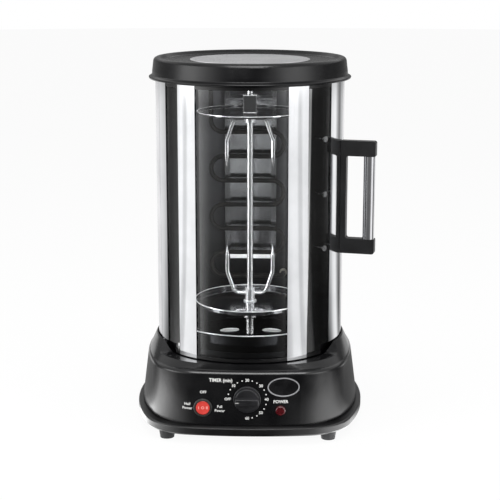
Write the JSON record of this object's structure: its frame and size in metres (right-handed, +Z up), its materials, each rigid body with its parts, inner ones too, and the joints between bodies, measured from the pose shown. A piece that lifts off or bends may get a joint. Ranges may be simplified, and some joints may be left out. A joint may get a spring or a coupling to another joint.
{
  "type": "electric skewer grill",
  "caption": "Upright electric grill: a turning spit with forks stands behind a curved glass door, over a drip pan and a base with a timer knob, a switch and a lamp.",
  "frame": {"origin": "on the floor under the middle of the footprint", "axes": "+Z up, -Y towards the front where the controls are, +X towards the side with the door's handle"},
  "size_m": [0.3168, 0.3014, 0.48],
  "materials": {
    "foot_rubber": "matte moulded rubber",
    "screw_steel": "zinc-plated, satin",
    "base_black": "satin-gloss moulded",
    "black_plastic": "satin moulded",
    "knob_black": "satin-gloss moulded",
    "rocker_red": "gloss translucent",
    "lamp_red": "clear dark red lens",
    "liner_steel": "rolled sheet, satin",
    "shell_black": "black heat-proof enamel",
    "element_black": "matte oxide sheath",
    "ceramic_white": "unglazed ceramic",
    "lid_steel": "round-brushed",
    "door_glass": "clear curved tempered glass",
    "chrome_trim": "polished",
    "stile_chrome": "polished edge strip",
    "stile_black": "satin-gloss enamel",
    "grip_chrome": "polished tube",
    "pan_steel": "polished pressed steel",
    "spit_chrome": "polished",
    "disc_chrome": "polished pressed disc",
    "fork_chrome": "plated wire"
  },
  "bodies": {
    "stand": {"base_feet": "foot_rubber", "base_screws": "screw_steel", "base_plate": "base_black", "base_housing": "base_black", "cord_bushing": "black_plastic", "chamber_floor": "liner_steel", "motor_bracket": "liner_steel", "gear_motor": "liner_steel", "terminal_block": "black_plastic", "thermal_cutout": "black_plastic", "timer_body": "screw_steel", "switch_housing": "black_plastic", "power_lamp": "lamp_red", "rear_shell": "shell_black", "inner_liner": "liner_steel", "reflector": "liner_steel", "reflector_posts": "liner_steel", "heating_element": "element_black", "element_brackets": "liner_steel", "element_terminals": "ceramic_white", "top_plate": "liner_steel", "top_bearing": "screw_steel", "lid_cover": "base_black", "lid_disc": "lid_steel", "door_catch": "black_plastic", "lower_hinge_bush": "screw_steel"},
    "door": {"door_glass": "door_glass", "door_bottom_rail": "chrome_trim", "door_top_rail": "chrome_trim", "door_trim_left": "chrome_trim", "door_trim_right": "chrome_trim", "door_hinge_stile": "stile_black", "door_handle_stile": "stile_chrome", "door_hinge_pins": "screw_steel", "handle_bracket": "black_plastic", "handle_grip": "grip_chrome", "handle_screws": "screw_steel"},
    "drive": {"drive_shaft": "spit_chrome"},
    "spit": {"spit_rod": "spit_chrome", "spit_socket": "spit_chrome", "lower_disc": "disc_chrome", "upper_disc": "disc_chrome", "hub_washer": "spit_chrome", "lower_fork": "fork_chrome", "upper_fork": "fork_chrome", "fork_collar": "spit_chrome", "collar_screw": "screw_steel"},
    "pan": {"drip_pan": "pan_steel"},
    "knob": {"timer_knob": "knob_black", "timer_spindle": "screw_steel"},
    "rocker": {"power_rocker": "rocker_red"}
  },
  "joints": [
    {"name": "door_hinge", "type": "hinge", "parent": "stand", "child": "door", "pos_m": [-0.11688, -0.0503, 0.282], "axis": [0, 0, -1], "range_deg": [0, 110]},
    {"name": "drive_spin", "type": "hinge", "parent": "stand", "child": "drive", "pos_m": [-0.0065, 0, 0.13], "axis": [0, 0, 1], "continuous": true},
    {"name": "spit_lift", "type": "slide", "parent": "drive", "child": "spit", "axis": [0, 0, 1], "range_m": [0, 0.007]},
    {"name": "pan_lift", "type": "slide", "parent": "stand", "child": "pan", "axis": [0, 0, 1], "range_m": [0, 0.008]},
    {"name": "timer_turn", "type": "hinge", "parent": "stand", "child": "knob", "pos_m": [-0.0065, -0.135, 0.0574], "axis": [0, 1, 0], "range_deg": [0, 270]},
    {"name": "switch_rock", "type": "hinge", "parent": "stand", "child": "rocker", "pos_m": [-0.0632, -0.1348, 0.0454], "axis": [0, 0, 1], "range_deg": [-10, 10]}
  ]
}
